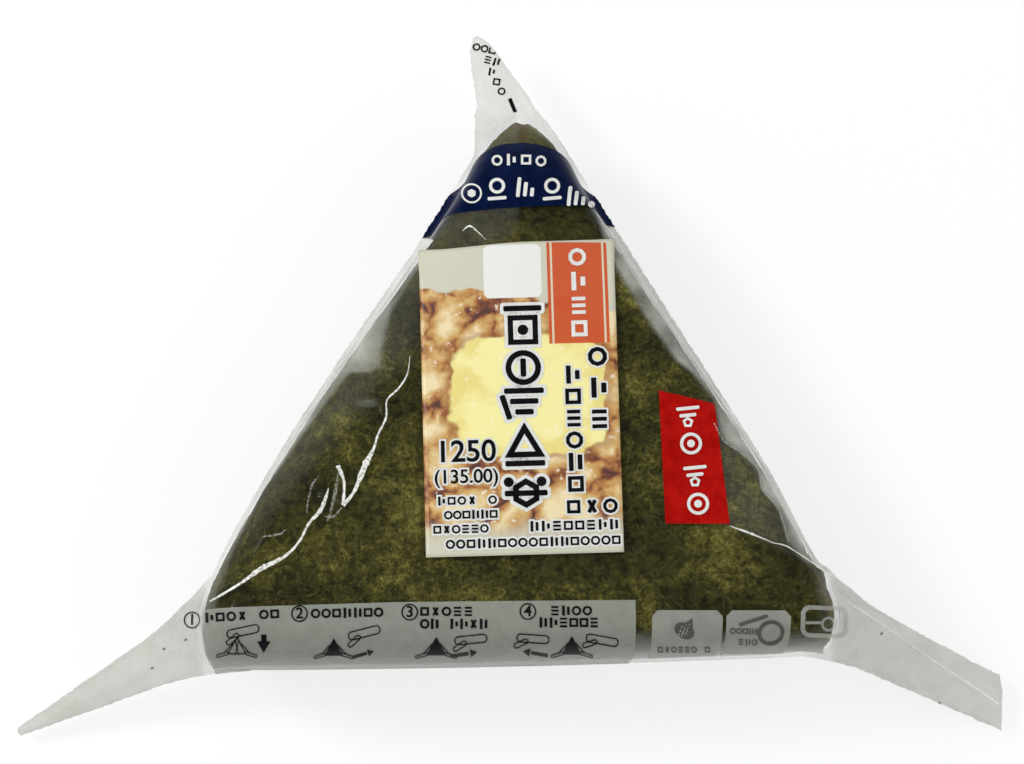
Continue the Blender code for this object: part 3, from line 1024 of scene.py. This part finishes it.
def label_sheet():
    bm = bmesh.new()
    bmesh.ops.create_grid(bm, x_segments=LABEL_CELLS[0], y_segments=LABEL_CELLS[1], size=0.5)
    bmesh.ops.scale(bm, vec=(*LABEL_SIZE, 1), verts=bm.verts)
    for vertex in bm.verts:
        corner = ease(2 * MM, -13.8 * MM, vertex.co.x) * ease(12 * MM, 22 * MM, vertex.co.y)
        vertex.co.y -= 0.9 * MM * corner
    settle(bm, label_place(0, 0), LABEL_TURN)
    drop(bm, LABEL_LIFT + PAPER)
    sights = [(vertex.co - EYE) / (vertex.co.z - EYE.z) for vertex in bm.verts]
    for vertex in bm.verts:
        vertex.co.z = max(vertex.co.z, 25 * MM)
    for _ in range(8):
        bmesh.ops.smooth_vert(bm, verts=bm.verts, factor=0.5, use_axis_z=True)
    for vertex, sight in zip(bm.verts, sights):
        vertex.co = EYE + sight * (vertex.co.z - EYE.z)
    bm.normal_update()
    tree = BVHTree.FromBMesh(bm)
    bmesh.ops.solidify(bm, geom=bm.faces[:], thickness=PAPER)
    bmesh.ops.recalc_face_normals(bm, faces=bm.faces)
    return bm, tree


sheet, label_tree = label_sheet()


# %% [markdown]
# Its print is painted by the shader in the label's own millimetres: a cream ground, a picture of
# browned food with sauce between the pieces, a pale yellow helping of egg in the middle, an
# orange panel and a bare white square. Each field is a rounded box or an oval whose edge is a
# smooth step of its distance.


# %% Label material
def label_axes(paint):
    """The label's own u and v in millimetres."""
    x, y, _ = paint.axes(paint.place())
    x, y = (x - LABEL_CENTRE.x) / MM, (y - LABEL_CENTRE.y) / MM
    c, s = math.cos(LABEL_TURN), math.sin(LABEL_TURN)
    return x * c + y * s, y * c - x * s


def box_mask(paint, u, v, centre, size, radius=0.1):
    """1 inside a rounded box, 0 outside."""
    across = ((u - centre[0]).size() - (size[0] / 2 - radius)).at_least(0)
    upright = ((v - centre[1]).size() - (size[1] / 2 - radius)).at_least(0)
    away = (across * across + upright * upright).math("SQRT")
    return paint.step(away, radius + 0.06, radius - 0.06)


def label_material():
    paint = Paint("label_print")
    u, v = label_axes(paint)
    place = paint.place()
    swirl = paint.noise(place, 4 * MM, 2.0, output=1)
    warped = paint.node("ShaderNodeVectorMath", {"operation": "MULTIPLY_ADD"},
                        {0: swirl, 1: (5.5 * MM,) * 3, 2: place})
    lump = paint.node("ShaderNodeTexVoronoi", {"feature": "DISTANCE_TO_EDGE"},
                      {"Vector": warped, "Scale": 1 / (7.6 * MM)})
    tone = paint.noise(warped, 3.6 * MM, 4.0, 0.6)
    heat = lump * 2.0 + (tone - 0.5) * 1.1 + 0.10
    stops = [
        (0.00, rgb(70, 26, 12)),
        (0.09, rgb(128, 66, 26)),
        (0.22, rgb(186, 134, 70)),
        (0.40, rgb(212, 176, 110)),
        (0.70, rgb(240, 222, 176)),
    ]
    food = paint.node("ShaderNodeValToRGB", {"stops": stops}, {0: heat})
    shine = paint.step(paint.noise(place, 1.1 * MM, 2.0), 0.64, 0.72) * 0.7
    food = paint.blend(shine, food, rgb(248, 238, 216))
    wobble = (paint.noise(place, 6 * MM, 2.0) - 0.5) * 6.0
    skyline = paint.step(v - wobble + (u + 2) * 0.12, 15.1, 14.6)
    skyline = skyline * paint.step(v + wobble * 0.9, -20.6, -16.6)
    ground = paint.blend(skyline, rgb(206, 205, 184), food)
    egg_u, egg_v = (u - 1.2) / 11.2, (v - 0.2) / 8.9
    egg_u, egg_v = egg_u * egg_u, egg_v * egg_v
    egg_wobble = (paint.noise(place, 3.4 * MM, 2.0) - 0.5) * 0.3
    egg_away = (egg_u * egg_u + egg_v * egg_v).math("SQRT").math("SQRT") + egg_wobble
    sauce = paint.step(egg_away, 1.12, 1.02) * 0.5
    ground = paint.blend(sauce, ground, rgb(150, 92, 34))
    egg = paint.step(egg_away, 1.0, 0.95)
    egg_light = paint.noise(place, 4.6 * MM, 3.0, 0.5) - paint.step(egg_away, 0.6, 1.0) * 0.16
    egg_tone = paint.blend(paint.step(egg_light, 0.24, 0.46), rgb(236, 220, 132), rgb(248, 240, 164))
    flecks = paint.step(paint.noise(place, 1.3 * MM, 2.0), 0.64, 0.7) * 0.6
    egg_tone = paint.blend(flecks, egg_tone, rgb(250, 246, 206))
    ground = paint.blend(egg, ground, egg_tone)
    orange = box_mask(paint, u, v, (8.6, 15.0), (8.6, 14.8), 0.05)
    ground = paint.blend(orange, ground, rgb(200, 76, 18))
    for line_u in (4.9, 12.3):
        line = box_mask(paint, u, v, (line_u, 15.0), (0.28, 14.8), 0.05)
        ground = paint.blend(line, ground, rgb(222, 214, 186))
    cream = box_mask(paint, u, v, (13.4, 17.8), (0.9, 9.6), 0.05)
    ground = paint.blend(cream, ground, rgb(210, 208, 186))
    square = box_mask(paint, u, v, (-0.65, 18.3), (8.2, 7.8), 0.9)
    ground = paint.blend(square, ground, rgb(236, 237, 233))
    fibre = paint.noise(place, 0.35 * MM, 3.0, 0.6)
    normal = paint.bump(fibre, 0.03 * MM, 0.5)
    rough = fibre * 0.15 + 0.35
    return paint.finish(paint.principled(Base_Color=ground, Roughness=rough, Normal=normal))


label_piece = to_object(sheet, "label_sheet", label_material())
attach(label_piece, "root")
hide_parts("label")

# %% [markdown]
# Over the picture lie a tall column of large marks, a double column of small ones and a few
# rows. On the real label these are words. Here they are plain shapes, black with a white rim:
# the rim is the same shape a little larger, laid underneath.


# %% Label marks
# Each helper returns a function that makes the shape, grown by as much as it is told.
def label_bar(size, centre, turn=0.0, round_share=0.3):
    def make(grow):
        grown = ((size[0] + 2 * grow) * MM, (size[1] + 2 * grow) * MM)
        return [bar(grown, label_place(*centre), LABEL_TURN + turn, round_share)]
    return make


def label_disc(radius, centre, sides=28, turn=0.0, width=None):
    """A disc, or a ring where a width is given."""
    def make(grow):
        outer = (radius + grow / math.cos(math.pi / sides)) * MM
        shape = disc(outer, label_place(*centre), sides, LABEL_TURN + turn)
        return [hollow(shape, (width + 2 * grow) * MM) if width else shape]
    return make


def label_ring(radius, width, centre, sides=28, turn=0.0):
    return label_disc(radius, centre, sides, turn, width)


def label_row(first, last, height, seed=0):
    def make(grow):
        ends = [Vector(label_place(*place)) / MM for place in (first, last)]
        return writing(ends[0], ends[1], height, seed, grow * MM)
    return make


def label_sign(u, v, size, seed):
    return label_row((u - size / 2, v), (u + size / 2, v), size, seed)


def label_numeral(text, height, centre):
    def make(grow):
        return [numeral(text, height * MM, label_place(*centre), LABEL_TURN, grow * MM)]
    return make


SQUARE = math.radians(45)
large = [
    label_bar((5.4, 0.8), (0.6, 12.7)),
    label_ring(3.0, 0.75, (0.6, 9.6), 4, SQUARE), label_disc(0.75, (0.6, 9.6), 16),
    label_ring(2.5, 0.8, (0.5, 4.2)), label_bar((0.8, 2.6), (0.5, 4.2)),
    label_bar((5.6, 0.8), (0.5, 0.9)), label_bar((4.0, 0.8), (0.5, -0.6)),
    label_bar((2.6, 0.8), (0.5, -2.1)), label_bar((0.8, 3.6), (-2.1, -1.4), 0.3),
    label_ring(3.3, 0.8, (0.4, -6.9), 3), label_bar((5.6, 0.8), (0.4, -9.4)),
    label_disc(0.7, (-2.0, -12.0), 16), label_disc(0.7, (2.6, -12.0), 16),
    label_ring(2.1, 0.8, (0.4, -13.6), 6), label_bar((6.0, 0.8), (0.4, -13.6)),
]
small = [label_sign(11.0, 5.5 - 4.45 * n, 2.9, (3, 0, 6)[n]) for n in range(3)]
small += [label_sign(7.4, 3.0 - 3.1 * n, 2.6, (0, 2, 6, 3, 5, 2)[n]) for n in range(6)]
small += [label_numeral("1250", 3.0, (-7.9, -7.6)), label_numeral("(135.00)", 1.9, (-7.9, -11.1))]
for row, left in enumerate((-12.2, -11.2, -12.8)):
    small.append(label_row((left, -14.4 - 2 * row), (-3.6, -14.4 - 2 * row), 1.3, row))
small.append(label_row((5.7, -15.7), (13.4, -15.7), 2.2, 2))
small.append(label_row((0.6, -18.3), (13.3, -18.3), 1.5, 5))
small.append(label_row((-11.1, -20.5), (13.5, -20.5), 1.4, 1))
PAPER_LIFT = 0.05 * MM

rim_shapes, ink_shapes = [], []
for make, rim in [(m, 0.48) for m in large] + [(m, 0.26) for m in small]:
    ink_shapes += make(0.0)
    rim_shapes += make(rim)
for seed, v in ((1, 19.9), (0, 16.4), (6, 12.9), (2, 9.6)):
    rim_shapes += label_sign(8.6, v, 2.7, seed)(0.0)
marks("label_rims", rim_shapes, WHITE, PAPER_LIFT, label_tree)
marks("label_ink", ink_shapes, BLACK, 2 * PAPER_LIFT, label_tree)

# %% [markdown]
# ## Floor and light
# The floor is white. To the eye it is part matt paint and part glow, so the pack's shadow stays
# but is faint, and for the light that bounces about it is plain white paint. The sky is an even
# white that reflections and clear film see too. One small lamp at the left glints on the crease
# ridges, and a soft one fills from the other side; the bright lines along them are painted highlights.


# %% Stage
def seen_directly(paint):
    """1 for the eye, for reflections and for what is seen through film."""
    rays = ("Is Camera Ray", "Is Glossy Ray", "Is Transmission Ray")
    first, second, third = [paint.node("ShaderNodeLightPath", output=ray) for ray in rays]
    return first.at_least(second).at_least(third)


def floor():
    bm = bmesh.new()
    bmesh.ops.create_grid(bm, x_segments=2, y_segments=2, size=2.0)
    bmesh.ops.translate(bm, vec=(0, 0, -0.3 * MM), verts=bm.verts)
    paint = Paint("white_floor")
    matt = paint.node("ShaderNodeBsdfDiffuse", inputs={"Color": (0.85, 0.85, 0.85, 1)})
    thin = paint.node("ShaderNodeBsdfDiffuse", inputs={"Color": (0.30, 0.30, 0.30, 1)})
    glow = paint.node("ShaderNodeEmission", inputs={"Color": (1, 1, 1, 1), "Strength": 0.73})
    both = paint.node("ShaderNodeAddShader", inputs={0: thin, 1: glow})
    seen = seen_directly(paint)
    return to_object(bm, "floor", paint.finish(
        paint.node("ShaderNodeMixShader", inputs={0: seen, 1: matt, 2: both})))


floor()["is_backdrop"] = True

SKY_LIGHT = 0.55


def sky():
    world = bpy.data.worlds.new("sky")
    bpy.context.scene.world = world
    paint = Paint("sky", world)
    white = {"Color": (1, 1, 1, 1), "Strength": 1.0}
    seen = paint.node("ShaderNodeBackground", inputs=white)
    light = paint.node("ShaderNodeBackground", inputs={**white, "Strength": SKY_LIGHT})
    share = seen_directly(paint)
    paint.finish(paint.node("ShaderNodeMixShader", inputs={0: share, 1: light, 2: seen}))


sky()


def lamp(name, place, aim, size, watts):
    data = bpy.data.lights.new(name, "AREA")
    data.size = size
    data.energy = watts
    thing = bpy.data.objects.new(name, data)
    bpy.context.scene.collection.objects.link(thing)
    thing.location = place
    thing.rotation_euler = (Vector(place) - Vector(aim)).to_track_quat("Z", "Y").to_euler()


lamp("key", (-0.42, 0.16, 0.5), (0, 0, 0), 0.16, 1.9)
lamp("fill", (0.6, -0.2, 0.55), (0, 0, 0), 0.5, 1.0)
bpy.context.scene.view_settings.view_transform = "Standard"

# %% [markdown]
# ## Sizes
# The visual model is meant to fill the same box as the solid model, so its size is printed.

# %% Print the visual model's size
low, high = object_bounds()
print("visual model", [round(1000 * side, 1) for side in high - low], "mm")
